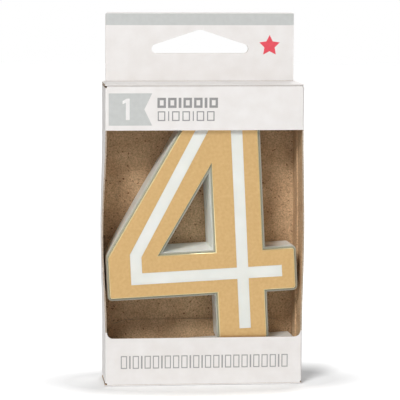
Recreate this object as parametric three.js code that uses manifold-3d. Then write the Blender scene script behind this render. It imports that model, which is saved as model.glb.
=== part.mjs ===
// A number birthday candle in its hanging window carton.
// Millimetres, +Z up, front towards -Y, origin at the middle of the carton's base.
// The candle is a figure 4 of white wax with a gold face, on a plastic cake pick.
// The carton is one sheet of paperboard, and each panel between two creases is one solid.
import * as THREE from "three";
import { ConvexGeometry } from "three/addons/geometries/ConvexGeometry.js";
import { mergeVertices } from "three/addons/utils/BufferGeometryUtils.js";
import Module from "manifold-3d";

const wasm = await Module();
wasm.setup();

// ---------------------------------------------------------------- candle sizes
const CANDLE_HEIGHT = 76.2; // from the pick's tips to the top of the figure
const CANDLE_THICKNESS = 12.7;
const CANDLE_LEAN = THREE.MathUtils.degToRad(2.9);
const STEM_WIDTH = 12.6; // the strokes are measured on the gold face
const ARM_STROKE = 10.8;
const ARM_ABOVE_FOOT = 12.9; // from the foot of the stem to the arm
const ARM_RIGHT_REACH = 8.3; // beyond the stem
const ARM_LEFT_REACH = 28.5;
const LEFT_END = 11; // height of the upright edge at the arm's left end
const TOP_OVERHANG = 2.33; // how far the figure's top stands out to the left of the stem
const DIAGONAL_STROKE = 11.2;
const ELBOW_RADIUS = 2.2;
const CORNER_RADIUS = 0.8;

const LEDGE = 0.65; // white wax showing round the gold face
const WAX_EDGE = 0.45; // radius of the wax body's edges
const EDGE_STEPS = 3;
const OUTER_DRAFT = 0.3; // how far the outer walls draw in towards the back
const COUNTER_DRAFT = 0.65; // how far the counter closes in towards the back
const GOLD_RELIEF = 0.55; // how far the gold face stands off the wax
const GOLD_BEVEL = 0.3;
const SKIN_GAP = 0.02; // between the gold face and the wax it covers

const STRIPE = 3; // width of the bare wax stripe in the gold face
const STRIPE_FIT = 0.02;
const STRIPE_IN_STEM = 0.65; // its centre, to the right of the stem's
const STRIPE_IN_ARM = 4.9; // its centre, above the arm's lower edge
const STRIPE_FOOT_MARGIN = 3;
const STRIPE_ARM_MARGIN = 3.5;
const STRIPE_LEFT_MARGIN = 7.3; // from the arm's left end to its centre
const STRIPE_ELBOW = 11.1; // height of its elbow over the arm's lower edge
const STRIPE_TOP = 7.5; // length of its run across under the figure's top
const STRIPE_TOP_MARGIN = 6.1; // from the figure's top to its centre

const PICK_PLATE_INSET = 0.85; // from the wax's front and back to the plate's
const PICK_PLATE_SHORT = 0.1; // from the arm's right end to the plate's
const PICK_PLATE = 1.8; // thickness
const PICK_CHAMFER = 1;
const SPIKE_LENGTH = 8.7;
const SPIKE_WIDTH = 3.2;
const SPIKE_THICKNESS = 1.8;
const SPIKE_TIP = 0.7; // width left at the point
const SPIKE_SPACING = 12;
const PEG_WIDTH = 5;
const PEG_THICKNESS = 3;
const PEG_LENGTH = 7;
const PEG_FIT = 0.1;
const PLATE_FIT = 0.05;

const WICK_DIAMETER = 1.2;
const WICK_FIT = 0.1;
const WICK_ABOVE_PEG = 8.7; // from the peg's top to the wick's foot, inside the wax
const WICK_STAND = 0.9; // from the wax's top to the middle of the folded wick
const WICK_BEND = 0.85;
const WICK_TAIL = 5;

// ---------------------------------------------------------------- carton sizes
// The carton is made to the candle: its width, depth and height are worked out below.
const BOARD = 0.4; // thickness of the paperboard
const FRONT_PLAY = 0.09; // between the gold face and the top tuck flap
const REAR_PLAY = 0.18; // between the candle's back and the bottom tuck flap
const SPREAD_SIDE = -0.27; // room at the left: the arm presses this panel outwards
const PICK_SIDE_PLAY = 0.13; // between the pick's plate and the glue flap
const FOOT_PLAY = 0.09; // under the pick's lower tip
const HEADROOM = 0.54; // over the folded wick
const LOWER_BAND = 12.8; // height of the front band under the window
const UPPER_BAND = 12; // height of the front band over the window
const WINDOW_CORNER = 1.6; // radius at the window's lower corners
const CREASE = 0.05; // space between two panels that share a crease
const LAID = 0.02; // space between two boards glued or laid on each other

const TAB_INSET = 0.95; // from the carton's side to the hanging tab's
const TAB_HEIGHT = 18.3; // above the carton
const TAB_CORNER = 0.8;
const HOLE_WIDTH = 25.9; // the hanging hole
const HOLE_HEIGHT = 6.2;
const HOLE_END = 1.2; // radius of its round ends
const HOLE_PEAK = 3.6; // radius of its raised middle
const HOLE_ABOVE_TAB_FOOT = 7.4;

const TOP_TUCK = 8; // how far the lid's tuck flap reaches down
const BOTTOM_TUCK = 15.1;
const TUCK_CORNER = 6; // radius of a tuck flap's free corners
const TOP_TUCK_PLAY = 0.38; // space between a tuck flap and the panel outside it
const BOTTOM_TUCK_PLAY = 0.15;
const SIDE_PLAY = 0.2; // space between a flap's edge and the glue flap
const DUST_FLAP = 10; // how far a dust flap reaches in
const DUST_CORNER = 0.5;
const DUST_SLANT = 0.298; // how far its edge on the lid's hinge side runs in, in carton depths
const DUST_START = 1.2; // from the lid's crease to that edge's foot
const DUST_SHOULDER = 2.2; // from its own crease to the shoulder on its other edge
const TOP_SWEEP = 0.252; // room that the top tuck flap needs as it draws out, in carton depths
const TOP_SWEEP_AT_CREASE = 0.066;
const BOTTOM_SWEEP = 0.345;
const BOTTOM_SWEEP_AT_CREASE = 0.318;
const GLUE_FLAP = 6.5;
const GLUE_FLAP_INSET = 2.5; // its ends stop short of the side panel's

const LEFT_BULGE_FRONT = 1; // how far the candle spreads the window's free edges
const LEFT_BULGE_REAR = 0.45;
const RIGHT_BULGE_FRONT = 0.45;
const RIGHT_BULGE_REAR = 0.2;
const BULGE_STEPS = 14;

// ---------------------------------------------------------------- candle, worked out
const SPIKE_TOP = SPIKE_LENGTH;
const PLATE_TOP = SPIKE_TOP + PICK_PLATE;
const PEG_TOP = PLATE_TOP + PEG_LENGTH;
const WAX_FOOT = PLATE_TOP + PLATE_FIT;
const GOLD_FOOT = WAX_FOOT + LEDGE;
const GOLD_TOP = CANDLE_HEIGHT - LEDGE;
const ARM_BOTTOM = GOLD_FOOT + ARM_ABOVE_FOOT;
const ARM_TOP = ARM_BOTTOM + ARM_STROKE;
const STEM_RIGHT = STEM_WIDTH / 2;
const STEM_LEFT = -STEM_WIDTH / 2;
const ARM_LEFT = STEM_LEFT - ARM_LEFT_REACH;
const ARM_RIGHT = STEM_RIGHT + ARM_RIGHT_REACH;
const ELBOW = ARM_BOTTOM + LEFT_END;
const TOP_LEFT = STEM_LEFT - TOP_OVERHANG;
const DIAGONAL_ANGLE = Math.atan((TOP_LEFT - ARM_LEFT) / (GOLD_TOP - ELBOW)); // from the upright
const PICK_HALF = ARM_RIGHT - PICK_PLATE_SHORT;
const WICK_FOOT = PEG_TOP + WICK_ABOVE_PEG;

// How far the leaning candle reaches left, right, down and up from the point at x = z = 0.
const LEAN_SIN = Math.sin(CANDLE_LEAN);
const LEAN_COS = Math.cos(CANDLE_LEAN);
const REACH_LEFT = (LEDGE - ARM_LEFT) * LEAN_COS + ELBOW * LEAN_SIN;
const REACH_RIGHT = PICK_HALF * LEAN_COS - SPIKE_TOP * LEAN_SIN;
const REACH_DOWN = ((SPIKE_SPACING + SPIKE_TIP) / 2) * LEAN_SIN;
const REACH_UP = (CANDLE_HEIGHT + WICK_STAND + WICK_DIAMETER / 2) * LEAN_COS;

// ---------------------------------------------------------------- carton, worked out
const GLUED_SIDE = 2 * BOARD + LAID; // side panel and glue flap together
const CARTON_WIDTH = BOARD + SPREAD_SIDE + REACH_LEFT + REACH_RIGHT + PICK_SIDE_PLAY + GLUED_SIDE;
const CANDLE_BEHIND_FRONT = 2 * BOARD + TOP_TUCK_PLAY + FRONT_PLAY;
const TUCKED_BACK = 2 * BOARD + BOTTOM_TUCK_PLAY;
const CARTON_DEPTH = CANDLE_BEHIND_FRONT + CANDLE_THICKNESS + REAR_PLAY + TUCKED_BACK;
const TIP_IN_CARTON = BOARD + FOOT_PLAY + REACH_DOWN;
const CARTON_HEIGHT = TIP_IN_CARTON + REACH_UP + HEADROOM + 2 * BOARD + CREASE;

const LEFT = -CARTON_WIDTH / 2;
const RIGHT = CARTON_WIDTH / 2;
const FRONT = -CARTON_DEPTH / 2;
const BACK = CARTON_DEPTH / 2;
const WINDOW_TOP = CARTON_HEIGHT - UPPER_BAND;
const INNER_HALF = RIGHT - BOARD;
const BACK_INNER = BACK - BOARD;
const TAB_FRONT = BACK_INNER - LAID - BOARD; // front face of the tab's front layer
const TOP_TUCK_OUTER = FRONT + BOARD + TOP_TUCK_PLAY;
const TOP_TUCK_INNER = TOP_TUCK_OUTER + BOARD;
const BOTTOM_TUCK_OUTER = BACK_INNER - BOTTOM_TUCK_PLAY;
const BOTTOM_TUCK_INNER = BOTTOM_TUCK_OUTER - BOARD;
const LID_UNDERSIDE = CARTON_HEIGHT - BOARD;
const DUST_TOP = LID_UNDERSIDE - CREASE;
const DUST_BOTTOM = BOARD + CREASE;
const GLUE_FLAP_FACE = RIGHT - GLUED_SIDE;
const FLAP_HALF = GLUE_FLAP_FACE - SIDE_PLAY;

const STEM_IN_CARTON = GLUE_FLAP_FACE - PICK_SIDE_PLAY - REACH_RIGHT;
const GOLD_FACE = FRONT + CANDLE_BEHIND_FRONT;
const WAX_FACE = GOLD_FACE + GOLD_RELIEF;
const WAX_BACK = GOLD_FACE + CANDLE_THICKNESS;
const CANDLE_MIDDLE = (WAX_FACE + WAX_BACK) / 2;

// ---------------------------------------------------------------- materials
const finish = (color, roughness, metalness = 0) =>
  new THREE.MeshStandardMaterial({ color, roughness, metalness });
const whiteBoard = finish(0xece8e6, 0.55);
const whiteWax = finish(0xeceee8, 0.5);
const goldFinish = finish(0xdeb87d, 0.38, 0.85);
const whitePlastic = finish(0xe8e8e4, 0.4);
const cottonWick = finish(0xf2efe6, 0.9);

// ---------------------------------------------------------------- solids
// A closed geometry as a manifold solid, so that it can be joined and cut.
function solidOf(geometry) {
  const bare = geometry.clone();
  bare.deleteAttribute("normal");
  bare.deleteAttribute("uv");
  const merged = mergeVertices(bare, 1e-4);
  const vertProperties = merged.attributes.position.array;
  const triVerts = new Uint32Array(merged.index.array);
  return new wasm.Manifold(new wasm.Mesh({ numProp: 3, vertProperties, triVerts }));
}

function geometryOf(solid) {
  const mesh = solid.getMesh();
  const geometry = new THREE.BufferGeometry();
  geometry.setAttribute("position", new THREE.BufferAttribute(mesh.vertProperties, 3));
  geometry.setIndex(new THREE.BufferAttribute(mesh.triVerts, 1));
  return geometry;
}

// A box between two corners.
function block(x0, x1, y0, y1, z0, z1) {
  const box = new THREE.BoxGeometry(x1 - x0, y1 - y0, z1 - z0);
  return box.translate((x0 + x1) / 2, (y0 + y1) / 2, (z0 + z1) / 2);
}

// A shape drawn in x and z, given its thickness from y0 back to y1.
function upright(shape, y0, y1, bevel = {}) {
  const { rim = 0, offset = 0, steps = EDGE_STEPS } = bevel;
  const options = { depth: y1 - y0 - 2 * rim, curveSegments: 8, bevelEnabled: rim > 0 };
  Object.assign(options, { bevelThickness: rim, bevelSize: rim });
  Object.assign(options, { bevelOffset: offset - rim, bevelSegments: steps });
  return new THREE.ExtrudeGeometry(shape, options).rotateX(Math.PI / 2).translate(0, y1 - rim, 0);
}

// A shape drawn in x and y, given its thickness from z0 up to z1.
function flat(shape, z0, z1) {
  const options = { depth: z1 - z0, curveSegments: 8, bevelEnabled: false };
  return new THREE.ExtrudeGeometry(shape, options).translate(0, 0, z0);
}

// A closed outline through the corners [x, y, radius], each rounded by its radius.
function outline(corners, kind = THREE.Shape) {
  const path = new kind();
  const count = corners.length;
  corners.forEach(([x, y, radius = 0], index) => {
    const corner = new THREE.Vector2(x, y);
    const [before, after] = [index + count - 1, index + 1].map((i) => corners[i % count]);
    const towards = ([tx, ty]) => new THREE.Vector2(tx, ty).sub(corner).normalize();
    const [back, ahead] = [towards(before), towards(after)];
    const tangent = radius / Math.tan(Math.acos(back.dot(ahead)) / 2);
    const start = corner.clone().addScaledVector(back, tangent);
    const end = corner.clone().addScaledVector(ahead, tangent);
    if (index === 0) path.moveTo(start.x, start.y);
    else path.lineTo(start.x, start.y);
    if (radius > 0) path.quadraticCurveTo(x, y, end.x, end.y);
  });
  path.closePath();
  return path;
}

const object = new THREE.Group();
const carton = new THREE.Group();
const candle = new THREE.Group();
object.add(carton, candle);

function add(group, name, geometry, material) {
  const mesh = new THREE.Mesh(geometry, material);
  mesh.name = name;
  group.add(mesh);
}

// ---------------------------------------------------------------- carton sleeve
// The candle's arm presses the side panels apart where the window leaves them free.
function bulged(geometry) {
  const position = geometry.attributes.position;
  const point = new THREE.Vector3();
  for (let i = 0; i < position.count; i++) {
    point.fromBufferAttribute(position, i);
    const up = (point.z - LOWER_BAND) / (WINDOW_TOP - LOWER_BAND);
    const swell = up > 0 && up < 1 ? Math.sin(Math.PI * up) ** 2 : 0;
    const forward = (BACK - point.y) / CARTON_DEPTH;
    const left = THREE.MathUtils.lerp(LEFT_BULGE_REAR, LEFT_BULGE_FRONT, forward);
    const right = THREE.MathUtils.lerp(RIGHT_BULGE_REAR, RIGHT_BULGE_FRONT, forward);
    const reach = point.x < 0 ? left : right;
    position.setX(i, point.x + (swell * reach * point.x) / RIGHT);
  }
  return geometry;
}

// A panel that is cut into rows at even heights, so that it can bulge.
function bulgedPanel(x0, x1, y0, y1, z0, z1) {
  const rows = [z0, z1];
  for (let i = 0; i <= BULGE_STEPS; i++)
    rows.push(THREE.MathUtils.lerp(LOWER_BAND, WINDOW_TOP, i / BULGE_STEPS));
  rows.sort((a, b) => a - b);
  const inside = rows.filter((z) => z >= z0 && z <= z1);
  const box = new THREE.BoxGeometry(x1 - x0, y1 - y0, 1, 2, 1, inside.length - 1);
  box.translate((x0 + x1) / 2, (y0 + y1) / 2, 0.5);
  const position = box.attributes.position;
  for (let i = 0; i < position.count; i++) {
    const row = Math.round(position.getZ(i) * (inside.length - 1));
    position.setZ(i, inside[row]);
  }
  return bulged(box);
}

// The hanging hole: flat below, with round ends and two straight flanks up to a round peak.
function hangingHole() {
  const foot = CARTON_HEIGHT + HOLE_ABOVE_TAB_FOOT;
  const end = foot + HOLE_END;
  const run = HOLE_WIDTH / 2 - HOLE_END;
  const peak = foot + HOLE_HEIGHT - HOLE_PEAK;
  const slope = Math.atan2(peak - end, run) + Math.asin((HOLE_PEAK - HOLE_END) / Math.hypot(run, peak - end));
  const upwards = Math.PI / 2;
  const shape = new THREE.Shape();
  shape.moveTo(-run, foot);
  shape.lineTo(run, foot);
  shape.absarc(run, end, HOLE_END, -upwards, upwards - slope);
  shape.absarc(0, peak, HOLE_PEAK, upwards - slope, upwards + slope);
  shape.absarc(-run, end, HOLE_END, upwards + slope, 3 * upwards);
  return shape;
}

// One layer of the folded hanging tab, from y0 back to y1 and up from z0.
function tabLayer(y0, y1, z0) {
  const half = RIGHT - TAB_INSET;
  const top = CARTON_HEIGHT + TAB_HEIGHT;
  const shape = outline([
    [-half, z0],
    [half, z0],
    [half, top, TAB_CORNER],
    [-half, top, TAB_CORNER],
  ]);
  const layer = solidOf(upright(shape, y0, y1));
  return layer.subtract(solidOf(upright(hangingHole(), y0 - BOARD, y1 + BOARD)));
}

function backPanel() {
  const wall = bulgedPanel(LEFT, RIGHT, BACK_INNER, BACK, 0, CARTON_HEIGHT);
  const tab = tabLayer(BACK_INNER, BACK, CARTON_HEIGHT - BOARD);
  return geometryOf(solidOf(wall).add(tab));
}

// A side panel's two ends are creased to the dust flaps, just inside the lids.
function sidePanel(side) {
  const [x0, x1] = side < 0 ? [LEFT, -INNER_HALF] : [INNER_HALF, RIGHT];
  const foot = DUST_BOTTOM + BOARD + CREASE;
  const head = DUST_TOP - BOARD - CREASE;
  return bulgedPanel(x0, x1, FRONT + BOARD + CREASE, BACK_INNER - CREASE, foot, head);
}

function glueFlap() {
  const x0 = GLUE_FLAP_FACE;
  const foot = DUST_BOTTOM + BOARD + GLUE_FLAP_INSET;
  const head = DUST_TOP - BOARD - GLUE_FLAP_INSET;
  const y1 = BACK_INNER - CREASE;
  return bulgedPanel(x0, x0 + BOARD, y1 - GLUE_FLAP, y1, foot, head);
}

function upperBand() {
  return block(LEFT, RIGHT, FRONT, FRONT + BOARD, WINDOW_TOP, LID_UNDERSIDE - CREASE);
}

function lowerBand() {
  const rise = LOWER_BAND + WINDOW_CORNER;
  const shape = new THREE.Shape();
  shape.moveTo(LEFT, BOARD + CREASE);
  shape.lineTo(RIGHT, BOARD + CREASE);
  shape.lineTo(RIGHT, rise);
  shape.lineTo(INNER_HALF, rise);
  shape.quadraticCurveTo(INNER_HALF, LOWER_BAND, INNER_HALF - WINDOW_CORNER, LOWER_BAND);
  shape.lineTo(WINDOW_CORNER - INNER_HALF, LOWER_BAND);
  shape.quadraticCurveTo(-INNER_HALF, LOWER_BAND, -INNER_HALF, rise);
  shape.lineTo(LEFT, rise);
  return upright(shape, FRONT, FRONT + BOARD);
}

add(carton, "back_panel", backPanel(), whiteBoard);
const tabFoot = CARTON_HEIGHT + CREASE;
add(carton, "hang_tab_front", geometryOf(tabLayer(TAB_FRONT, TAB_FRONT + BOARD, tabFoot)), whiteBoard);
add(carton, "left_side_panel", sidePanel(-1), whiteBoard);
add(carton, "right_side_panel", sidePanel(1), whiteBoard);
add(carton, "glue_flap", glueFlap(), whiteBoard);
add(carton, "front_upper_band", upperBand(), whiteBoard);
add(carton, "front_lower_band", lowerBand(), whiteBoard);

// ---------------------------------------------------------------- carton closures
function tuckFlap(y0, root, tip) {
  const shape = outline([
    [-FLAP_HALF, root],
    [FLAP_HALF, root],
    [FLAP_HALF, tip, TUCK_CORNER],
    [-FLAP_HALF, tip, TUCK_CORNER],
  ]);
  return upright(shape, y0, y0 + BOARD);
}

// A dust flap seen from above. Its slanted edge is on the lid's hinge side, and its other
// edge is cut back clear of the tuck flap's way out.
function dustFlap(side, hingeEdge, sweptEdge, sweptAtCrease, z0) {
  const root = side * RIGHT;
  const tip = side * (RIGHT - DUST_FLAP);
  const shoulder = side * (RIGHT - DUST_SHOULDER);
  const inward = Math.sign(sweptEdge - hingeEdge);
  const slanted = hingeEdge + inward * DUST_SLANT * CARTON_DEPTH;
  const shape = outline([
    [root, hingeEdge],
    [tip, slanted, DUST_CORNER],
    [tip, sweptEdge, DUST_CORNER],
    [shoulder, sweptEdge],
    [root, sweptAtCrease],
  ]);
  return flat(shape, z0, z0 + BOARD);
}

const topLid = block(LEFT, RIGHT, TOP_TUCK_OUTER, TAB_FRONT, LID_UNDERSIDE, CARTON_HEIGHT);
const topTuck = tuckFlap(TOP_TUCK_OUTER, LID_UNDERSIDE - CREASE, LID_UNDERSIDE - TOP_TUCK);
const bottomLid = block(LEFT, RIGHT, FRONT, BOTTOM_TUCK_OUTER, 0, BOARD);
const bottomTuck = tuckFlap(BOTTOM_TUCK_INNER, BOARD + CREASE, BOARD + BOTTOM_TUCK);
const topDustEdges = [
  TAB_FRONT - DUST_START,
  TOP_TUCK_INNER + TOP_SWEEP * CARTON_DEPTH,
  TOP_TUCK_INNER + TOP_SWEEP_AT_CREASE * CARTON_DEPTH,
];
const bottomDustEdges = [
  FRONT + BOARD + DUST_START,
  BOTTOM_TUCK_INNER - BOTTOM_SWEEP * CARTON_DEPTH,
  BOTTOM_TUCK_INNER - BOTTOM_SWEEP_AT_CREASE * CARTON_DEPTH,
];

add(carton, "top_lid", topLid, whiteBoard);
add(carton, "top_tuck_flap", topTuck, whiteBoard);
add(carton, "bottom_lid", bottomLid, whiteBoard);
add(carton, "bottom_tuck_flap", bottomTuck, whiteBoard);
for (const [word, side] of [
  ["left", -1],
  ["right", 1],
]) {
  const top = dustFlap(side, ...topDustEdges, DUST_TOP - BOARD);
  const bottom = dustFlap(side, ...bottomDustEdges, DUST_BOTTOM);
  add(carton, "top_dust_flap_" + word, top, whiteBoard);
  add(carton, "bottom_dust_flap_" + word, bottom, whiteBoard);
}

// ---------------------------------------------------------------- candle
// The figure is drawn in x and z, with x = 0 on the stem's centre line and z = 0 at the
// pick's tips. This is the gold face's outline; the wax body stands a ledge outside it.
const diagonalAt = (z) => ARM_LEFT + Math.tan(DIAGONAL_ANGLE) * (z - ELBOW);

function figure() {
  return outline([
    [STEM_LEFT, GOLD_FOOT, CORNER_RADIUS],
    [STEM_RIGHT, GOLD_FOOT, CORNER_RADIUS],
    [STEM_RIGHT, ARM_BOTTOM],
    [ARM_RIGHT, ARM_BOTTOM, CORNER_RADIUS],
    [ARM_RIGHT, ARM_TOP, CORNER_RADIUS],
    [STEM_RIGHT, ARM_TOP],
    [STEM_RIGHT, GOLD_TOP, CORNER_RADIUS],
    [TOP_LEFT, GOLD_TOP, CORNER_RADIUS],
    [ARM_LEFT, ELBOW, ELBOW_RADIUS],
    [ARM_LEFT, ARM_BOTTOM, CORNER_RADIUS],
    [STEM_LEFT, ARM_BOTTOM],
  ]);
}

// The corners of the figure's counter, drawn in from the gold's edge by an inset.
function counterCorners(inset) {
  const foot = ARM_TOP + inset;
  const side = STEM_LEFT - inset;
  const left = diagonalAt(foot) + (DIAGONAL_STROKE + inset) / Math.cos(DIAGONAL_ANGLE);
  const top = foot + (side - left) / Math.tan(DIAGONAL_ANGLE);
  return [
    [left, foot],
    [side, top],
    [side, foot],
  ];
}

// A band of even width along a line of points, with mitred corners.
function band(points, width) {
  const line = points.map(([x, z]) => new THREE.Vector2(x, z));
  const last = line.length - 1;
  const directions = line.slice(1).map((p, i) => p.clone().sub(line[i]).normalize());
  const edge = (side) =>
    line.map((point, i) => {
      const before = directions[Math.max(i - 1, 0)];
      const after = directions[Math.min(i, last - 1)];
      const along = before.clone().add(after).normalize();
      const across = new THREE.Vector2(-along.y, along.x);
      const reach = width / 2 / along.dot(before);
      return point.clone().addScaledVector(across, side * reach);
    });
  return new THREE.Shape([...edge(-1), ...edge(1).reverse()]);
}

// The stripe follows the middle of the strokes: along the arm, round the elbow, up the
// diagonal, across under the top and down the stem.
function stripe(width, y0, y1) {
  const arm = ARM_BOTTOM + STRIPE_IN_ARM;
  const left = ARM_LEFT + STRIPE_LEFT_MARGIN;
  const elbow = ARM_BOTTOM + STRIPE_ELBOW;
  const top = CANDLE_HEIGHT - STRIPE_TOP_MARGIN;
  const spare = (width - STRIPE) / 2;
  const stem = STRIPE_IN_STEM;
  const loop = [
    [ARM_RIGHT - STRIPE_ARM_MARGIN + spare, arm],
    [left, arm],
    [left, elbow],
    [stem - STRIPE_TOP, top],
    [stem + width / 2, top],
  ];
  const upstroke = [
    [stem, top],
    [stem, GOLD_FOOT + STRIPE_FOOT_MARGIN - spare],
  ];
  const [first, second] = [loop, upstroke].map((line) => solidOf(upright(band(line, width), y0, y1)));
  return first.add(second);
}

// The bores in the wax body: the wick's, from the top, and the peg's, from the foot.
function wickBore() {
  const radius = WICK_DIAMETER / 2 + WICK_FIT;
  const depth = CANDLE_HEIGHT - WICK_FOOT + WICK_FIT;
  const bore = new THREE.CylinderGeometry(radius, radius, depth + CORNER_RADIUS, 16);
  bore.rotateX(Math.PI / 2);
  return bore.translate(0, CANDLE_MIDDLE, CANDLE_HEIGHT - (depth - CORNER_RADIUS) / 2);
}

function peg(fit) {
  const [x, y] = [PEG_WIDTH / 2 + fit, PEG_THICKNESS / 2 + fit];
  const [y0, y1] = [CANDLE_MIDDLE - y, CANDLE_MIDDLE + y];
  return block(-x, x, y0, y1, SPIKE_TOP + PICK_PLATE / 2, PEG_TOP + fit);
}

// The outer walls draw in a little over their depth, so the two ends have their own offsets.
function draftedFigure() {
  const edge = { rim: WAX_EDGE, offset: LEDGE };
  const body = upright(figure(), WAX_FACE, WAX_BACK, edge);
  const drawnIn = upright(figure(), WAX_FACE, WAX_BACK, { ...edge, offset: LEDGE - OUTER_DRAFT });
  const [near, far] = [body, drawnIn].map((geometry) => geometry.attributes.position);
  for (let i = 0; i < near.count; i++) {
    const share = (near.getY(i) - WAX_FACE) / (WAX_BACK - WAX_FACE);
    near.setX(i, THREE.MathUtils.lerp(near.getX(i), far.getX(i), share));
    near.setZ(i, THREE.MathUtils.lerp(near.getZ(i), far.getZ(i), share));
  }
  return body;
}

// The counter's core: a stack of slices that closes in towards the back. Both ends flare,
// and so round the wax's edges.
function counterCore() {
  const levels = [[WAX_FACE - BOARD, LEDGE - WAX_EDGE]];
  for (let i = 0; i <= EDGE_STEPS; i++) {
    const turn = (Math.PI / 2) * (i / EDGE_STEPS);
    const flare = WAX_EDGE * (1 - Math.sin(turn));
    levels.push([WAX_FACE + WAX_EDGE * (1 - Math.cos(turn)), LEDGE - flare]);
  }
  const mirrored = levels.map(([y, inset]) => [WAX_FACE + WAX_BACK - y, inset + COUNTER_DRAFT]);
  const rings = [...levels, ...mirrored.reverse()].map(([y, inset]) =>
    counterCorners(inset).map(([x, z]) => new THREE.Vector3(x, y, z)),
  );
  const slices = rings.slice(1).map((ring, i) => solidOf(new ConvexGeometry([...rings[i], ...ring])));
  return slices.reduce((core, slice) => core.add(slice));
}

function waxBody() {
  const rib = stripe(STRIPE, GOLD_FACE, WAX_FACE + WAX_EDGE);
  const body = solidOf(draftedFigure()).subtract(counterCore());
  const bored = body.subtract(solidOf(wickBore())).subtract(solidOf(peg(PEG_FIT)));
  return bored.add(rib);
}

// The gold face is two pieces, because the stripe closes on itself round the counter.
function goldFace() {
  const behind = WAX_FACE - SKIN_GAP;
  const shape = figure();
  shape.holes.push(outline(counterCorners(0), THREE.Path));
  const whole = upright(shape, GOLD_FACE, behind + GOLD_BEVEL, { rim: GOLD_BEVEL, steps: 2 });
  const room = block(2 * LEFT, 2 * RIGHT, GOLD_FACE - BOARD, behind, 0, 2 * CANDLE_HEIGHT);
  const groove = stripe(STRIPE + 2 * STRIPE_FIT, GOLD_FACE - BOARD, WAX_FACE + BOARD);
  const pieces = solidOf(whole).intersect(solidOf(room)).subtract(groove).decompose();
  return pieces.sort((a, b) => b.surfaceArea() - a.surfaceArea());
}

// The wick is moulded in down the stem, and folded over flat at the top.
class WickRoute extends THREE.Curve {
  constructor() {
    super();
    const bend = CANDLE_HEIGHT + WICK_STAND - WICK_BEND;
    const over = CANDLE_HEIGHT + WICK_STAND;
    const at = (x, z) => new THREE.Vector3(x, CANDLE_MIDDLE, z);
    this.path = new THREE.CurvePath();
    this.path.add(new THREE.LineCurve3(at(0, WICK_FOOT), at(0, bend)));
    this.path.add(new THREE.QuadraticBezierCurve3(at(0, bend), at(0, over), at(-WICK_BEND, over)));
    this.path.add(new THREE.LineCurve3(at(-WICK_BEND, over), at(-WICK_TAIL, over)));
  }
  getPoint(t, target = new THREE.Vector3()) {
    return target.copy(this.path.getPoint(t));
  }
}

function wick() {
  const section = new THREE.Shape();
  section.absarc(0, 0, WICK_DIAMETER / 2, 0, 2 * Math.PI);
  const options = { extrudePath: new WickRoute(), steps: 60, curveSegments: 5 };
  return new THREE.ExtrudeGeometry(section, { ...options, bevelEnabled: false });
}

function spike(centre) {
  const half = SPIKE_WIDTH / 2;
  const tip = SPIKE_TIP / 2;
  const shape = outline([
    [centre - half, SPIKE_TOP + PICK_PLATE / 2],
    [centre - half, SPIKE_TOP - SPIKE_WIDTH],
    [centre - tip, 0],
    [centre + tip, 0],
    [centre + half, SPIKE_TOP - SPIKE_WIDTH],
    [centre + half, SPIKE_TOP + PICK_PLATE / 2],
  ]);
  const [y0, y1] = [-1, 1].map((side) => CANDLE_MIDDLE + (side * SPIKE_THICKNESS) / 2);
  return upright(shape, y0, y1);
}

function cakePick() {
  const half = PICK_HALF;
  const shape = outline([
    [-half, SPIKE_TOP],
    [half, SPIKE_TOP],
    [half, PLATE_TOP - PICK_CHAMFER],
    [half - PICK_CHAMFER, PLATE_TOP],
    [PICK_CHAMFER - half, PLATE_TOP],
    [-half, PLATE_TOP - PICK_CHAMFER],
  ]);
  const [y0, y1] = [WAX_FACE + PICK_PLATE_INSET, WAX_BACK - PICK_PLATE_INSET];
  const plate = solidOf(upright(shape, y0, y1));
  const spikes = [-1, 1].map((side) => solidOf(spike((side * SPIKE_SPACING) / 2)));
  return plate.add(solidOf(peg(0))).add(spikes[0]).add(spikes[1]);
}

const [goldOuter, goldInner] = goldFace();
add(candle, "wax_body", geometryOf(waxBody()), whiteWax);
add(candle, "gold_face_outer", geometryOf(goldOuter), goldFinish);
add(candle, "gold_face_inner", geometryOf(goldInner), goldFinish);
add(candle, "wick", wick(), cottonWick);
add(candle, "cake_pick", geometryOf(cakePick()), whitePlastic);

// The candle leans against the carton's left side, standing on one tip of its pick.
candle.position.set(STEM_IN_CARTON, 0, TIP_IN_CARTON);
candle.rotation.y = -CANDLE_LEAN;

export default object;
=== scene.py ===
# %% [markdown]
# # A number candle in its hanging window carton
#
# The object is a figure-4 birthday candle, cast in white wax with a gold face, leaning in a
# paperboard carton with an open window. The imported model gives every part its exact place.
# Each cell below takes one part of it and makes that part's surface or finer shape.

import math

import bmesh
import bpy
from mathutils import Matrix, Vector


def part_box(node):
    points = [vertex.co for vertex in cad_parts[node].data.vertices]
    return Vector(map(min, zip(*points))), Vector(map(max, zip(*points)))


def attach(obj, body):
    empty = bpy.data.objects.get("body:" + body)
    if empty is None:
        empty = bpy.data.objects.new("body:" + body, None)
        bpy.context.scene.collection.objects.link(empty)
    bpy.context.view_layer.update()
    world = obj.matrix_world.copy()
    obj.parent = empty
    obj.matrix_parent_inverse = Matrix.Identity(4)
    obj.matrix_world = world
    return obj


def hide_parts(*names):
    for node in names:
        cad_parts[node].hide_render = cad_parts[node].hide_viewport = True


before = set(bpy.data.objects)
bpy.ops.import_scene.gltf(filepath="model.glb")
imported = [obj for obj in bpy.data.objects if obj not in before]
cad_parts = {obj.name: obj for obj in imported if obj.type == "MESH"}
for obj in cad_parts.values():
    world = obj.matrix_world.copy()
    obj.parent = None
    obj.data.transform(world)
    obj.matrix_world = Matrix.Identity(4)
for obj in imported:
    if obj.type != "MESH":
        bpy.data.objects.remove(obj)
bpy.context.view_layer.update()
MM = 0.001

# %% [markdown]
# ## Measures
#
# The carton is one folded sheet, so a few planes say where everything is: its two sides,
# its front and back, and the window's lower and upper edges. They are read from the frame,
# which keeps the looks and the moving model together if a size is ever changed.

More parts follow.
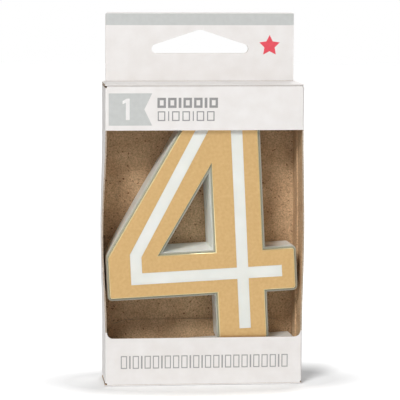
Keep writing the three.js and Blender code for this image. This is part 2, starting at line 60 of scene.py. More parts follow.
# %% Read the carton's planes from the frame
BOARD = 0.4 * MM
WINDOW_CORNER = 1.6 * MM
low_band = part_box("front_lower_band")
high_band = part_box("front_upper_band")
side = high_band[1].x
front = low_band[0].y
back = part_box("back_panel")[1].y
window_bottom = low_band[1].z - WINDOW_CORNER
window_top = high_band[0].z
carton_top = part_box("top_lid")[1].z
print("window:", round((window_top - window_bottom) / MM, 1), "mm high")

# %% [markdown]
# ## Finishes
#
# Every finish is a small tree of nodes on Object coordinates, in metres, so a noise of
# scale 1000 has grains of about a millimetre. `finish` starts the tree, `grain` adds a
# noise to it, and `tone` turns a noise into colours. `reading` gives one part of a place or
# of a direction, `spread` stretches one range over another, and `reckon` does a sum. Colours
# are given as a painter would read them from a chart, from 0 to 255, and turned into the
# linear values of the renderer.


# %% Begin a finish
def chart(red, green, blue):
    return tuple(((c / 255 + 0.055) / 1.055) ** 2.4 for c in (red, green, blue)) + (1,)


def finish(name, colour, roughness, metallic=0.0):
    material = bpy.data.materials.new(name)
    material.use_nodes = True
    shader = material.node_tree.nodes["Principled BSDF"]
    shader.inputs["Base Color"].default_value = chart(*colour)
    shader.inputs["Roughness"].default_value = roughness
    shader.inputs["Metallic"].default_value = metallic
    return material


# %% [markdown]
# A noise makes a finish uneven, as real paper and wax are, and a ramp gives its low and its
# high values two close colours.


# %% Add a noise and turn it into colours
def grain(material, scale, detail=3.0, stretch=(1, 1, 1)):
    nodes, links = material.node_tree.nodes, material.node_tree.links
    place = nodes.new("ShaderNodeTexCoord")
    turn = nodes.new("ShaderNodeMapping")
    turn.inputs["Scale"].default_value = stretch
    noise = nodes.new("ShaderNodeTexNoise")
    noise.inputs["Scale"].default_value = scale
    noise.inputs["Detail"].default_value = detail
    links.new(place.outputs["Object"], turn.inputs["Vector"])
    links.new(turn.outputs["Vector"], noise.inputs["Vector"])
    return noise.outputs["Fac"]


def tone(material, value, stops):
    nodes, links = material.node_tree.nodes, material.node_tree.links
    ramp = nodes.new("ShaderNodeValToRGB")
    while len(ramp.color_ramp.elements) < len(stops):
        ramp.color_ramp.elements.new(0.5)
    for element, (position, colour) in zip(ramp.color_ramp.elements, stops):
        element.position = position
        element.color = chart(*colour)
    links.new(value, ramp.inputs["Fac"])
    return ramp.outputs["Color"]


# %% [markdown]
# Two colours are mixed by an amount. The result is joined to the shader, with a bump where
# the surface should look rough without being moved.


# %% Mix colours and join them to the shader
def blend_over(material, amount, under, over, kind="MIX"):
    nodes, links = material.node_tree.nodes, material.node_tree.links
    mix = nodes.new("ShaderNodeMix")
    mix.data_type = "RGBA"
    mix.blend_type = kind
    for socket, value in ((mix.inputs[0], amount), (mix.inputs[6], under), (mix.inputs[7], over)):
        if isinstance(value, (int, float, tuple)):
            socket.default_value = value
        else:
            links.new(value, socket)
    return mix.outputs[2]


def wire(material, colour=None, height=None, strength=0.2, depth=0.05 * MM, roughness=None):
    nodes, links = material.node_tree.nodes, material.node_tree.links
    shader = nodes["Principled BSDF"]
    if colour is not None:
        links.new(colour, shader.inputs["Base Color"])
    if roughness is not None:
        links.new(roughness, shader.inputs["Roughness"])
    if height is not None:
        bump = nodes.new("ShaderNodeBump")
        bump.inputs["Strength"].default_value = strength
        bump.inputs["Distance"].default_value = depth
        links.new(height, bump.inputs["Height"])
        links.new(bump.outputs["Normal"], shader.inputs["Normal"])
    return material


# %% [markdown]
# The last three helpers work with numbers: they stretch a range over another, read where a
# point is or which way it faces, and do a sum.


# %% Stretch ranges, read places and do sums
def spread(material, value, low, high, start=0.0, end=1.0):
    nodes, links = material.node_tree.nodes, material.node_tree.links
    stretch = nodes.new("ShaderNodeMapRange")
    stretch.inputs["From Min"].default_value = start
    stretch.inputs["From Max"].default_value = end
    stretch.inputs["To Min"].default_value = low
    stretch.inputs["To Max"].default_value = high
    links.new(value, stretch.inputs["Value"])
    return stretch.outputs["Result"]


def reading(material, kind, axis):
    nodes, links = material.node_tree.nodes, material.node_tree.links
    coordinates = nodes.new("ShaderNodeTexCoord")
    parts = nodes.new("ShaderNodeSeparateXYZ")
    links.new(coordinates.outputs[kind], parts.inputs["Vector"])
    return parts.outputs[axis]


def reckon(material, operation, first, second=0.0):
    nodes, links = material.node_tree.nodes, material.node_tree.links
    worked = nodes.new("ShaderNodeMath")
    worked.operation = operation
    links.new(first, worked.inputs[0])
    if isinstance(second, float):
        worked.inputs[1].default_value = second
    else:
        links.new(second, worked.inputs[1])
    return worked.outputs[0]


# %% [markdown]
# ### Paperboard
#
# The carton's board is brown kraft with a white clay coat on its outside. The coat is
# smooth and faintly mottled where it has soaked into the fibres. The bare inside shows the
# kraft's own cloudy brown, with darker and paler flecks of fibre. Where the board was cut,
# the brown core shows between the pale skins.


# %% Make the board's three finishes
def coated_board():
    material = finish("coated_board", (236, 232, 230), 0.5)
    clouds = grain(material, 260, 4)
    fibres = grain(material, 2600, 2, (1, 1, 0.35))
    colour = tone(material, clouds, [(0.3, (233, 229, 226)), (0.7, (239, 236, 234))])
    return wire(material, colour, fibres, 0.12, 0.02 * MM, spread(material, clouds, 0.44, 0.56))


def kraft_board():
    material = finish("kraft_board", (133, 104, 76), 0.9)
    clouds = grain(material, 170, 5)
    fibres = grain(material, 2700, 4)
    flecks = grain(material, 1500, 2)
    cloudy = tone(material, clouds, [(0.32, (212, 175, 136)), (0.68, (235, 201, 160))])
    fibrous = tone(material, fibres, [(0.32, (192, 190, 186)), (0.68, (255, 255, 255))])
    colour = blend_over(material, 0.9, cloudy, fibrous, "MULTIPLY")
    speck = tone(material, flecks, [(0.65, (255, 255, 255)), (0.72, (150, 125, 105))])
    colour = blend_over(material, 1.0, colour, speck, "MULTIPLY")
    return wire(material, colour, fibres, 0.5, 0.06 * MM)


def cut_board():
    material = finish("cut_board", (176, 160, 142), 0.9)
    layers = grain(material, 3000, 2)
    colour = tone(material, layers, [(0.3, (158, 140, 120)), (0.7, (196, 182, 166))])
    return wire(material, colour, layers, 0.4, 0.05 * MM)


white_side, kraft_side, cut_side = coated_board(), kraft_board(), cut_board()
BOARD_FINISHES = (white_side, kraft_side, cut_side)
WHITE, KRAFT, CUT = range(3)
print("board finishes:", [material.name for material in BOARD_FINISHES])


# %% [markdown]
# ## Making a piece
#
# A new piece is modelled as a bmesh in its final place. `place` turns it into an object
# and lets it ride on a moving body of the frame.
# `block` is the usual beginning: a cube stretched between two corners.


# %% Helpers for the pieces
def place(bm, name, finishes, body, slot, smooth=False):
    mesh = bpy.data.meshes.new(name)
    bm.to_mesh(mesh)
    bm.free()
    for material in finishes:
        mesh.materials.append(material)
    for polygon in mesh.polygons:
        polygon.use_smooth = smooth
    piece = bpy.data.objects.new(name, mesh)
    bpy.context.scene.collection.objects.link(piece)
    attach(piece, body)
    print(name, "has", len(mesh.polygons), "faces")
    return piece


def block(low, high):
    bm = bmesh.new()
    bmesh.ops.create_cube(bm, size=1)
    bmesh.ops.scale(bm, vec=high - low, verts=bm.verts)
    bmesh.ops.translate(bm, vec=(low + high) / 2, verts=bm.verts)
    return bm


def bevel(bm, edges, width, segments):
    options = {"affect": "EDGES", "profile": 0.5, "material": -1, "offset_type": "OFFSET"}
    return bmesh.ops.bevel(bm, geom=edges, offset=width, segments=segments, **options)


def cut(bm, point, normal):
    everything = [*bm.verts, *bm.edges, *bm.faces]
    bmesh.ops.bisect_plane(bm, geom=everything, dist=1e-7, plane_co=point, plane_no=normal)


def drop(bm, test):
    faces = [face for face in bm.faces if test(face.calc_center_median(), face.normal)]
    bmesh.ops.delete(bm, geom=faces, context="FACES")


# %% [markdown]
# ## The carton's sleeve
#
# The sleeve is the front bands, the two sides and the back, folded from one sheet. Four
# flat plates would show open corners, so it is made as the carton is: one skin that runs
# round rounded creases. The window is cut out of the skin, the candle's arm presses the
# free sides outwards, and the wall then gets the board's thickness inwards, white outside
# and kraft inside.

# %% Fold the sleeve's skin
CREASE = 0.45 * MM
DUST_HEAD = carton_top - 0.9 * MM  # the sides end here, under the dust flaps
DUST_FOOT = 0.9 * MM
BAND_HEAD = carton_top - BOARD - 0.05 * MM
BAND_FOOT = BOARD + 0.05 * MM

sleeve = block(Vector((-side, front, 0)), Vector((side, back, carton_top)))
drop(sleeve, lambda middle, normal: abs(normal.z) > 0.9)
corners = [edge for edge in sleeve.edges if abs(edge.verts[0].co.z - edge.verts[1].co.z) > MM]
bevel(sleeve, corners, CREASE, 4)
rows = [window_bottom + (window_top - window_bottom) * step / 20 for step in range(21)]
for height in [BAND_FOOT, DUST_FOOT, window_bottom + WINDOW_CORNER, DUST_HEAD, BAND_HEAD, *rows]:
    cut(sleeve, Vector((0, 0, height)), Vector((0, 0, 1)))
for hand in (-1, 1):
    cut(sleeve, Vector((hand * (side - CREASE - WINDOW_CORNER), 0, 0)), Vector((1, 0, 0)))
print("skin:", len(sleeve.faces), "faces before the window is cut")

# %% [markdown]
# The window's lower corners are round. Where the skin has a square cell at each corner, four
# tangent planes split it along a quarter circle, and what lies inside the circle is dropped.


# %% Cut the window and its round corners
def corner_cell(hand):
    inner = side - CREASE - WINDOW_CORNER
    found = []
    for face in sleeve.faces:
        middle = face.calc_center_median()
        at_side = inner < hand * middle.x < side - CREASE
        at_foot = window_bottom < middle.z < window_bottom + WINDOW_CORNER
        if at_side and at_foot and face.normal.y < -0.9:
            found.append(face)
    return found


def circle_middle(hand):
    x = hand * (side - CREASE - WINDOW_CORNER)
    return Vector((x, front, window_bottom + WINDOW_CORNER))


for hand in (-1, 1):
    for step in range(5):
        turn = math.radians(9 + 18 * step)
        out = Vector((hand * math.cos(turn), 0, -math.sin(turn)))
        geometry = set()
        for face in corner_cell(hand):
            geometry.update([face, *face.edges, *face.verts])
        point = circle_middle(hand) + out * WINDOW_CORNER
        bmesh.ops.bisect_plane(sleeve, geom=list(geometry), dist=1e-7, plane_co=point, plane_no=out)


def in_window(middle, normal):
    if normal.y > -0.3 or not window_bottom < middle.z < window_top:
        return False
    hand = 1 if middle.x > 0 else -1
    away = middle - circle_middle(hand)
    in_corner = hand * away.x > 0 and away.z < 0 and hand * middle.x < side - CREASE
    if abs(middle.x) > side - CREASE:
        return middle.z > window_bottom + WINDOW_CORNER
    return not in_corner or math.hypot(away.x, away.z) < WINDOW_CORNER


drop(sleeve, in_window)
drop(sleeve, lambda middle, normal: normal.y < -0.9 and not BAND_FOOT < middle.z < BAND_HEAD)
drop(sleeve, lambda middle, normal: abs(normal.x) > 0.05 and not DUST_FOOT < middle.z < DUST_HEAD)
print("skin:", len(sleeve.faces), "faces with the window cut")

# %% Press the free sides outwards and give the wall its thickness
BULGE = {-1: (1.0 * MM, 0.45 * MM), 1: (0.45 * MM, 0.2 * MM)}  # at the front and at the back

for vert in sleeve.verts:
    rise = (vert.co.z - window_bottom) / (window_top - window_bottom)
    if 0 < rise < 1:
        at_front, at_back = BULGE[1 if vert.co.x > 0 else -1]
        forward = (back - vert.co.y) / (back - front)
        reach = at_back + (at_front - at_back) * forward
        vert.co.x *= 1 + math.sin(math.pi * rise) ** 2 * reach / side
bmesh.ops.recalc_face_normals(sleeve, faces=sleeve.faces)
sleeve_piece = place(sleeve, "carton_sleeve", BOARD_FINISHES, "carton", "white_board")
wall = sleeve_piece.modifiers.new("wall", "SOLIDIFY")
wall.thickness = BOARD
wall.offset = -1
wall.use_even_offset = True
wall.material_offset = KRAFT
wall.material_offset_rim = CUT
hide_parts("front_upper_band", "front_lower_band", "back_panel")
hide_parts("left_side_panel", "right_side_panel")

# %% [markdown]
# ## The hanging tab
#
# The back panel runs up, folds over and comes down again in front, so the tab is two boards
# thick with a soft fold along its top. Its outline and its hole are the frame's own: the
# front layer is copied, everything but its front face is dropped, and that face is pushed
# back through both layers. The top edges are then rounded into the fold.


# %% Make the hanging tab
TAB_FOLD = 0.3 * MM
HAIR = 0.01 * MM  # closer than this counts as the same place


def copied(node):
    bm = bmesh.new()
    bm.from_mesh(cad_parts[node].data)
    bmesh.ops.remove_doubles(bm, verts=bm.verts, dist=1e-6)
    whole = {"verts": bm.verts, "edges": bm.edges}
    bmesh.ops.dissolve_limit(bm, angle_limit=math.radians(0.5), delimit={"NORMAL"}, **whole)
    return bm


tab = copied("hang_tab_front")
tab.normal_update()
drop(tab, lambda middle, normal: normal.y > -0.9)
loose = [vert for vert in tab.verts if not vert.link_faces]
bmesh.ops.delete(tab, geom=loose, context="VERTS")
pushed = bmesh.ops.extrude_face_region(tab, geom=tab.faces[:])
new_verts = [item for item in pushed["geom"] if isinstance(item, bmesh.types.BMVert)]
tab_front = new_verts[0].co.y
bmesh.ops.translate(tab, vec=Vector((0, back - tab_front, 0)), verts=new_verts)
bmesh.ops.recalc_face_normals(tab, faces=tab.faces)
tab_top = max(vert.co.z for vert in tab.verts)
folds = [edge for edge in tab.edges if all(vert.co.z > tab_top - HAIR for vert in edge.verts)]
folds = [edge for edge in folds if abs(edge.verts[0].co.y - edge.verts[1].co.y) < HAIR]
bevel(tab, folds, TAB_FOLD, 4)
tab.normal_update()
for face in tab.faces:
    middle = face.calc_center_median()
    coated = abs(face.normal.y) > 0.5 or middle.z > tab_top - TAB_FOLD - 2 * HAIR
    face.material_index = WHITE if coated else CUT
tab_piece = place(tab, "hanging_tab", BOARD_FINISHES, "carton", "white_board")
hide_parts("hang_tab_front")

# %% [markdown]
# ## Lids and tuck flaps
#
# Each lid is a rectangle of board that ends in a tuck flap with round corners. They swing,
# so each is its own piece. A block in the node's own box gets its round corners and a small
# round along its crease, and its faces then take the coat, the kraft or the cut edge by the
# way they look.


# %% Make the lids and tuck flaps
TUCK_CORNER = 6 * MM
LID_CREASE = 0.28 * MM


def board_panel(node, outside, crease, corner_end=0):
    low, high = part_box(node)
    bm = block(low, high)
    outside = Vector(outside)
    creases = [Vector(direction) for direction in crease]
    if corner_end:
        end = high.z if corner_end > 0 else low.z
        edges = [e for e in bm.edges if all(abs(v.co.z - end) < 1e-6 for v in e.verts)]
        edges = [e for e in edges if abs(e.verts[0].co.x - e.verts[1].co.x) < 1e-6]
        bevel(bm, edges, TUCK_CORNER, 12)
    bm.normal_update()
    folds = []
    for edge in bm.edges:
        normals = [face.normal for face in edge.link_faces]
        if max(normal.dot(outside) for normal in normals) > 0.9:
            for towards in creases:
                if max(normal.dot(towards) for normal in normals) > 0.9:
                    folds.append(edge)
    bevel(bm, folds, LID_CREASE, 3)
    bm.normal_update()
    for face in bm.faces:
        outwards = face.normal.dot(outside)
        if outwards > 0.2 or any(face.normal.dot(towards) > 0.5 for towards in creases):
            face.material_index = WHITE
        else:
            face.material_index = KRAFT if outwards < -0.9 else CUT
    piece = place(bm, node + "_board", BOARD_FINISHES, node, "white_board")
    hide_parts(node)


board_panel("top_lid", (0, 0, 1), [(0, -1, 0), (0, 1, 0)])
board_panel("top_tuck_flap", (0, -1, 0), [(0, 0, 1)], corner_end=-1)
board_panel("bottom_lid", (0, 0, -1), [(0, -1, 0), (0, 1, 0)])
board_panel("bottom_tuck_flap", (0, 1, 0), [(0, 0, -1)], corner_end=1)

# %% [markdown]
# ## Dust flaps and the glue flap
#
# These small flaps keep the frame's own solids. A dust flap is coated on the face that looks
# out of the carton and bare on the other, so its finish chooses by the surface's own normal.
# The glue flap shows only its bare side.


# %% Finish the dust flaps and the glue flap
def two_sided_board(name, outside):
    material = finish(name, (236, 232, 230), 0.6)
    compare = "GREATER_THAN" if outside > 0 else "LESS_THAN"
    coated = reckon(material, compare, reading(material, "Normal", "Z"), 0.5 * outside)
    fibres = grain(material, 2300, 4)
    bare = tone(material, fibres, [(0.3, (112, 86, 61)), (0.7, (152, 122, 92))])
    coat = tone(material, fibres, [(0.3, (233, 229, 226)), (0.7, (239, 236, 234))])
    return wire(material, blend_over(material, coated, bare, coat), fibres, 0.3)


def cover(node, material):
    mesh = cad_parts[node].data
    mesh.materials.clear()
    mesh.materials.append(material)


top_flap_board = two_sided_board("top_flap_board", 1)
bottom_flap_board = two_sided_board("bottom_flap_board", -1)
for word in ("left", "right"):
    cover("top_dust_flap_" + word, top_flap_board)
    cover("bottom_dust_flap_" + word, bottom_flap_board)
cover("glue_flap", kraft_side)
print("small flaps:", [top_flap_board.name, bottom_flap_board.name, kraft_side.name])

# %% [markdown]
# ## Printing
#
# The carton is printed in greys, with one small rose-red mark on the tab. The print is a
# film of ink, so each shape is a thin plate on the board, which keeps its edges crisp at
# any distance. The words are left out: rows of plain frames and bars stand in their places.

# %% Make the inks
INK = 0.015 * MM


def ink(name, colour):
    material = finish(name, colour, 0.45)
    clouds = grain(material, 900, 3)
    low = tuple(max(0, c - 3) for c in colour)
    high = tuple(min(255, c + 3) for c in colour)
    return wire(material, tone(material, clouds, [(0.3, low), (0.7, high)]), clouds, 0.05, INK)


pale_ink = ink("pale_grey_ink", (198, 200, 198))
grey_ink = ink("grey_ink", (150, 149, 148))
fine_ink = ink("fine_grey_ink", (160, 159, 158))
rose_ink = ink("rose_ink", (232, 78, 92))
paper_ink = ink("blank_ink", (238, 236, 234))
print("a film of ink is", round(INK / MM, 3), "mm thick")


# %% Print flat shapes on an upright board
def printed(name, outlines, y, material, rings=(), layer=1):
    bm = bmesh.new()
    faces = []
    for points in outlines:
        verts = [bm.verts.new((x * MM, y, z * MM)) for x, z in points]
        faces.append(bm.faces.new(verts))
    bm.normal_update()
    for face in faces:
        if face.normal.y > 0:
            face.normal_flip()
    for number, stroke in rings:
        face = faces[number]
        bmesh.ops.inset_individual(bm, faces=[face], thickness=stroke * MM, use_even_offset=True)
        bmesh.ops.delete(bm, geom=[face], context="FACES")
    lifted = bmesh.ops.extrude_face_region(bm, geom=bm.faces[:])
    verts = [item for item in lifted["geom"] if isinstance(item, bmesh.types.BMVert)]
    bmesh.ops.translate(bm, vec=Vector((0, -INK * layer, 0)), verts=verts)
    bmesh.ops.recalc_face_normals(bm, faces=bm.faces)
    return place(bm, name, [material], "carton", "board_print")


def rectangle(x0, x1, z0, z1):
    return [(x0, z0), (x1, z0), (x1, z1), (x0, z1)]


badge = [(-25.28, 69.1), (-13.92, 69.1), (-15.97, 73.3), (-13.92, 77.52), (-25.28, 77.52)]
printed("printed_badge", [badge], front, pale_ink)
numeral = [(-20.8, 70.56), (-19.8, 70.56), (-19.8, 76.15), (-20.6, 76.15), (-21.66, 75.5)]
numeral += [(-21.66, 74.7), (-20.8, 75.1)]
printed("printed_numeral", [numeral], front, paper_ink, layer=2)


# %% [markdown]
# A row stands in for a printed line. It is made of groups of frames with a bar between two
# groups, and is stretched to fill the line's length. A width below zero marks a solid bar.


# %% Print rows of plain frames and bars
def printed_row(name, across, up, groups, frame_wide, bar_wide, gap, stroke, material):
    widths = []
    for count in groups:
        widths += [-bar_wide] * bool(widths) + [frame_wide] * count
    room = across[1] - across[0] - gap * (len(widths) - 1)
    scale = room / sum(abs(width) for width in widths)
    outlines, rings, x = [], [], across[0]
    for width in widths:
        wide = abs(width) * scale
        if width > 0:
            rings.append((len(outlines), stroke))
        outlines.append(rectangle(x, x + wide, *up))
        x += wide + gap
    return printed(name, outlines, front, material, rings)


BOLD_ROW, LIGHT_ROW, FINE_ROW = (2, 2, 1), (1, 2, 2), (1, 1, 2, 3, 1, 2, 3, 3, 1)
bold_place, light_place = ((-12.54, 3.33), (73.7, 76.34)), ((-12.45, 2.45), (70.27, 72.81))
fine_place = ((-22.05, 22.34), (4.7, 8.13))
printed_row("printed_bold_row", *bold_place, BOLD_ROW, 5, 1.6, 0.55, 0.62, grey_ink)
printed_row("printed_light_row", *light_place, LIGHT_ROW, 5, 0.7, 0.75, 0.28, grey_ink)
printed_row("printed_fine_row", *fine_place, FINE_ROW, 3, 0.7, 0.55, 0.26, fine_ink)

# %% Print the tab's band and its small star
tab_low, tab_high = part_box("hang_tab_front")
band_low, band_high = 94.7, tab_high.z / MM - 0.3
half = tab_high.x / MM
printed("printed_tab_band", [rectangle(-half, half, band_low, band_high)], tab_low.y, pale_ink)
STAR_X, STAR_Z, STAR_REACH = 18.7, 89.2, 2.9
points = []
for turn in range(10):
    reach = STAR_REACH if turn % 2 == 0 else STAR_REACH / 2
    angle = math.radians(90 + 36 * turn)
    points.append((STAR_X + reach * math.cos(angle), STAR_Z + reach * math.sin(angle)))
printed("printed_star", [points], tab_low.y, rose_ink)

# %% [markdown]
# ## The candle
#
# The candle is cast wax: a thick figure with soft edges, whose walls lean a little as they
# do in a mould. Wax lets light in and scatters it, so its finish has subsurface scattering,
# a satin surface and slow, shallow waves from cooling. A thin grey-olive line of painted
# shade runs round the gold, where the ledge sits in a gap too narrow to model. It could be
# the coat thinning out over the ledge, or only shade in a gap too narrow to model, so it is
# made in the colour, by depth behind the face: a guess, not a known layer.
# The frame's solid has the right shape, so a copy is merged, its small rounds are shaded
# smoothly, and its flats stay flat.


# %% Make the wax
SHADE_FADE = 0.45 * MM  # the painted shade has faded out by this depth behind the ledge
SHADE_START = 0.2 * MM  # the painted shade starts this far in front of the ledge


# Painted shade: a mask for a grey-olive band on the wax, darkest at the ledge round the gold
def painted_gap_shade(material):
    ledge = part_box("gold_face_outer")[1].y
    depth = reading(material, "Object", "Y")
    behind = spread(material, depth, 0.0, 1.0, ledge + SHADE_FADE, ledge)
    started = reckon(material, "GREATER_THAN", depth, ledge - SHADE_START)
    return reckon(material, "MULTIPLY", behind, started)


def cast_wax():
    material = finish("cast_wax", (236, 237, 231), 0.42)
    shader = material.node_tree.nodes["Principled BSDF"]
    shader.inputs["Subsurface Weight"].default_value = 0.35
    shader.inputs["Subsurface Radius"].default_value = (1.0, 0.85, 0.7)
    shader.inputs["Subsurface Scale"].default_value = 1.2 * MM
    waves = grain(material, 140, 3)
    pores = grain(material, 1900, 3)
    colour = tone(material, waves, [(0.3, (232, 233, 226)), (0.7, (240, 241, 236))])
    # the grey-olive mixed in here is painted shade in the gap round the gold
    colour = blend_over(material, painted_gap_shade(material), colour, chart(152, 152, 134))
    height = blend_over(material, 0.3, waves, pores)
    return wire(material, colour, height, 0.25, 0.08 * MM, spread(material, pores, 0.36, 0.5))


def rounded_copy(node, name, finishes, slot, body="candle"):
    bm = copied(node)
    piece = place(bm, name, finishes, body, slot, smooth=True)
    piece.data.set_sharp_from_angle(angle=math.radians(50))
    weigh = piece.modifiers.new("flats", "WEIGHTED_NORMAL")
    weigh.keep_sharp = True
    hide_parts(node)
    return piece


wax = cast_wax()
rounded_copy("wax_body", "cast_wax_figure", [wax], "white_wax")

# %% [markdown]
# ## The gold face
#
# The raised face is coated in gold, with a bare stripe of wax let into it. The coat is
# metallic but fine-grained, so it is satin and even, with a faint mottle. Where the relief
# rounds over, the colour itself is made paler. That stands in for the glint of a smooth
# edge, which is finer than this rounding can catch, and so it shows on every side.


# %% Make the gold
FLAT, ROUNDED = 0.997, 0.93  # how squarely the surface faces front, where the paling runs


def turned_away(material):
    return spread(material, reading(material, "Normal", "Y"), 0.0, 1.0, -FLAT, -ROUNDED)


def gold_coat():
    material = finish("gold_coat", (232, 194, 132), 0.4, 0.6)
    mottle = grain(material, 1300, 4)
    sparkle = grain(material, 5200, 2)
    colour = tone(material, mottle, [(0.3, (226, 185, 124)), (0.7, (234, 196, 136))])
    colour = blend_over(material, turned_away(material), colour, chart(255, 240, 190))
    return wire(material, colour, sparkle, 0.18, 0.02 * MM, spread(material, mottle, 0.34, 0.42))


gold = gold_coat()
rounded_copy("gold_face_outer", "gold_outer_face", [gold], "gold_coat")
rounded_copy("gold_face_inner", "gold_inner_face", [gold], "gold_coat")


# %% [markdown]
# ## The cake pick and the wick
#
# The pick is a moulded plastic plate with two spikes, and its edges are broken by a small
# bevel. The wick is cotton: three thin strands twisted round each other, each a tube along
# its own winding path.


# %% Make the pick
def moulded_plastic():
    material = finish("moulded_plastic", (235, 235, 230), 0.35)
    ripple = grain(material, 700, 3)
    colour = tone(material, ripple, [(0.3, (231, 231, 226)), (0.7, (238, 238, 234))])
    return wire(material, colour, ripple, 0.12, 0.03 * MM, spread(material, ripple, 0.3, 0.42))


plastic = moulded_plastic()
rounded_copy("cake_pick", "moulded_cake_pick", [plastic], "white_plastic")


# %% Make the cotton and measure the wick
def cotton():
    material = finish("cotton", (240, 236, 224), 0.95)
    fluff = grain(material, 4500, 3)
    colour = tone(material, fluff, [(0.3, (226, 220, 204)), (0.7, (246, 243, 234))])
    return wire(material, colour, fluff, 0.6, 0.08 * MM)


LEAN = math.radians(2.9)
STRAND, TWIST = 0.29 * MM, math.radians(32)  # a strand's radius, and its turn at each step
BEND, TAIL, RADIUS = 0.85 * MM, 5.0 * MM, 0.6 * MM
STEM_STEPS, BEND_STEPS, TAIL_STEPS = 150, 4, 14
wick_low, wick_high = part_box("wick")
wick_y = (wick_low.y + wick_high.y) / 2
foot_z = wick_low.z + RADIUS * math.sin(LEAN)
stem_x = wick_high.x - RADIUS * math.cos(LEAN)
wick_rise = (wick_high.z - RADIUS - foot_z) / math.cos(LEAN) - BEND
print("the wick rises", round(wick_rise / MM, 1), "mm before it folds over")


# %% [markdown]
# The route is followed once: up the stem, round the bend and along the tail. Each of its
# points keeps the direction that lies across it, and a strand winds round it by that.


# %% Lead a strand along the wick's route
def leaned(x, z, pivot):
    across = x * math.cos(LEAN) - z * math.sin(LEAN)
    along = x * math.sin(LEAN) + z * math.cos(LEAN)
    return pivot + Vector((across, 0, along))


def wick_route():
    pivot = Vector((stem_x, wick_y, foot_z))
    route = []
    for step in range(STEM_STEPS + 1):
        rise = wick_rise * step / STEM_STEPS
        route.append((leaned(0, rise, pivot), leaned(1, 0, Vector())))
    for step in range(1, BEND_STEPS + 1):
        turn = math.radians(90) * step / BEND_STEPS
        x, z = -BEND * (1 - math.cos(turn)), wick_rise + BEND * math.sin(turn)
        across = leaned(math.cos(turn), math.sin(turn), Vector())
        route.append((leaned(x, z, pivot), across))
    for step in range(1, TAIL_STEPS + 1):
        x = -BEND - (TAIL - BEND) * step / TAIL_STEPS
        route.append((leaned(x, wick_rise + BEND, pivot), leaned(0, 1, Vector())))
    return route


def strand(number):
    curve = bpy.data.curves.new("strand", "CURVE")
    curve.dimensions = "3D"
    curve.bevel_depth = STRAND
    curve.bevel_resolution = 2
    curve.use_fill_caps = True
    spline = curve.splines.new("POLY")
    route = wick_route()
    spline.points.add(len(route) - 1)
    for index, (point, across) in enumerate(route):
        turn = math.radians(120) * number + TWIST * index
        offset = across * math.cos(turn) * STRAND + Vector((0, 1, 0)) * math.sin(turn) * STRAND
        spline.points[index].co = (*(point + offset), 1)
    return curve


# %% Wind three strands and join them
cotton_finish = cotton()
wick_bm = bmesh.new()
for number in range(3):
    tube = bpy.data.objects.new("tube", strand(number))
    bpy.context.scene.collection.objects.link(tube)
    bpy.context.view_layer.update()
    wick_bm.from_mesh(bpy.data.meshes.new_from_object(tube))
    bpy.data.objects.remove(tube)
bmesh.ops.remove_doubles(wick_bm, verts=wick_bm.verts, dist=1e-7)
bmesh.ops.recalc_face_normals(wick_bm, faces=wick_bm.faces)
wick_piece = place(wick_bm, "twisted_wick", [cotton_finish], "candle", "cotton_wick", smooth=True)
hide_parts("wick")

# %% [markdown]
# ## Floor
#
# A plain white floor runs out under a white sky, as in a studio cove. Away from the carton
# the floor glows, for the camera alone, so that it melts into the white background and keeps
# only the contact shadow. From below it is clear, so the underside can be seen, but it still
# keeps light off it, and the closed bottom lid looks black from there.


# %% Lay the floor
FLOOR_RADIUS = 1.5
GLOW_WIDE, GLOW_DEEP, GLOW = 36 * MM, 17 * MM, 0.7
GLOW_START, GLOW_FULL = 1.0, 1.8  # in footprints of that width and depth


def cove():
    material = finish("cove", (250, 250, 250), 0.9)
    clouds = grain(material, 3, 2)
    nodes, links = material.node_tree.nodes, material.node_tree.links
    shader = nodes["Principled BSDF"]
    shader.inputs["Emission Color"].default_value = (1, 1, 1, 1)
    coordinates = nodes.new("ShaderNodeTexCoord")
    footprint = nodes.new("ShaderNodeMapping")
    footprint.inputs["Scale"].default_value = (1 / GLOW_WIDE, 1 / GLOW_DEEP, 1)
    away = nodes.new("ShaderNodeVectorMath")
    away.operation = "LENGTH"
    links.new(coordinates.outputs["Object"], footprint.inputs["Vector"])
    links.new(footprint.outputs["Vector"], away.inputs[0])
    glow = spread(material, away.outputs["Value"], 0.0, GLOW, GLOW_START, GLOW_FULL)
    ray = nodes.new("ShaderNodeLightPath")
    shown = reckon(material, "MULTIPLY", glow, ray.outputs["Is Camera Ray"])
    links.new(shown, shader.inputs["Emission Strength"])
    clear = nodes.new("ShaderNodeBsdfTransparent")
    underside = nodes.new("ShaderNodeNewGeometry")
    either = nodes.new("ShaderNodeMixShader")
    links.new(underside.outputs["Backfacing"], either.inputs["Fac"])
    links.new(shader.outputs["BSDF"], either.inputs[1])
    links.new(clear.outputs["BSDF"], either.inputs[2])
    links.new(either.outputs["Shader"], nodes["Material Output"].inputs["Surface"])
    return wire(material, tone(material, clouds, [(0.3, (249, 249, 249)), (0.7, (252, 252, 252))]))


floor_bm = bmesh.new()
bmesh.ops.create_circle(floor_bm, cap_ends=True, radius=FLOOR_RADIUS, segments=64)
floor_mesh = bpy.data.meshes.new("floor")
floor_bm.to_mesh(floor_mesh)
floor_bm.free()
floor_mesh.materials.append(cove())
floor = bpy.data.objects.new("floor", floor_mesh)
bpy.context.scene.collection.objects.link(floor)
print("floor:", FLOOR_RADIUS, "m from its middle to its rim")

# %% [markdown]
# ## Light
#
# One lamp high in front on the left gives the faces their light, a weaker one lights the
# back, and the sky fills the shadows. The sky is brightest in a band from the front over the
# top to the back and falls to nothing at the sides, but the camera always sees it white.

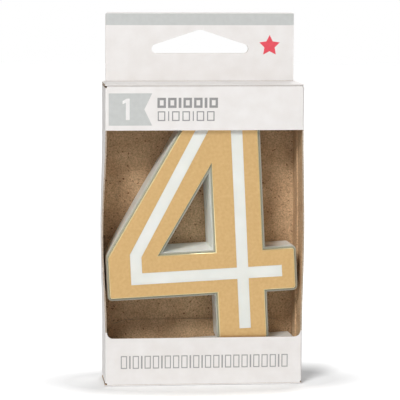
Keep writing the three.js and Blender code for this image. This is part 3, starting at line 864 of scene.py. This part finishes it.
# %% Light the scene
SKY_MIDDLE, SKY_SIDES = 0.5, 0.0
world = bpy.data.worlds.new("sky")
world.use_nodes = True
sky_nodes = world.node_tree.nodes
sky = sky_nodes["Background"]
sideways = reckon(world, "ABSOLUTE", reading(world, "Generated", "X"))
fall = spread(world, sideways, SKY_MIDDLE, SKY_SIDES)
ray = sky_nodes.new("ShaderNodeLightPath")
white = reckon(world, "MAXIMUM", fall, ray.outputs["Is Camera Ray"])
world.node_tree.links.new(white, sky.inputs["Strength"])
sky.inputs["Color"].default_value = (1, 1, 1, 1)
bpy.context.scene.world = world
bpy.context.scene.view_settings.view_transform = "Standard"
MIDDLE = Vector((0, 0, 50 * MM))


def lamp(name, spot, size, power):
    light = bpy.data.lights.new(name, "AREA")
    light.shape = "DISK"
    light.size = size
    light.energy = power
    lamp_object = bpy.data.objects.new(name, light)
    lamp_object.location = Vector(spot)
    towards = MIDDLE - lamp_object.location
    lamp_object.rotation_euler = towards.to_track_quat("-Z", "Y").to_euler()
    bpy.context.scene.collection.objects.link(lamp_object)
    print(name, "lamp:", power, "W from", round(towards.length, 2), "m")


lamp("key", (-0.42, -0.8, 0.8), 0.4, 9.6)
lamp("back", (0.35, 0.9, 0.5), 0.6, 3.0)

# %% [markdown]
# ## Camera
#
# The camera is far off with a long lens, a little to the left of the carton and above it, so
# the upright edges stay almost parallel. Its three directions are worked out from how far it
# is turned, tipped and rolled.

# %% Set the camera
YAW, PITCH, ROLL = (math.radians(angle) for angle in (5.848, -6.601, 0.278))
CAMERA_PLACE = Vector((-62.66, -607.0, 119.18)) * MM
LENS, SENSOR = 207.94, 36
flat_forward = Vector((math.sin(YAW), math.cos(YAW), 0)) * math.cos(PITCH)
forward = flat_forward + Vector((0, 0, math.sin(PITCH)))
level = Vector((math.cos(YAW), -math.sin(YAW), 0))
upward = level.cross(forward)
right = math.cos(ROLL) * level + math.sin(ROLL) * upward
up = math.cos(ROLL) * upward - math.sin(ROLL) * level
camera_data = bpy.data.cameras.new("camera")
camera_data.lens = LENS
camera_data.sensor_width = SENSOR
camera_data.clip_end = 20
camera = bpy.data.objects.new("camera", camera_data)
facing = Matrix((right, up, -forward)).transposed().to_4x4()
camera.matrix_world = Matrix.Translation(CAMERA_PLACE) @ facing
bpy.context.scene.collection.objects.link(camera)
bpy.context.scene.camera = camera
print("camera:", round((CAMERA_PLACE - MIDDLE).length, 2), "m off, lens", LENS, "mm")

# %% [markdown]
# ## Last step
#
# The scene is brought up to date, so every piece stands in its final place.

# %% Bring the scene up to date
bpy.context.view_layer.update()
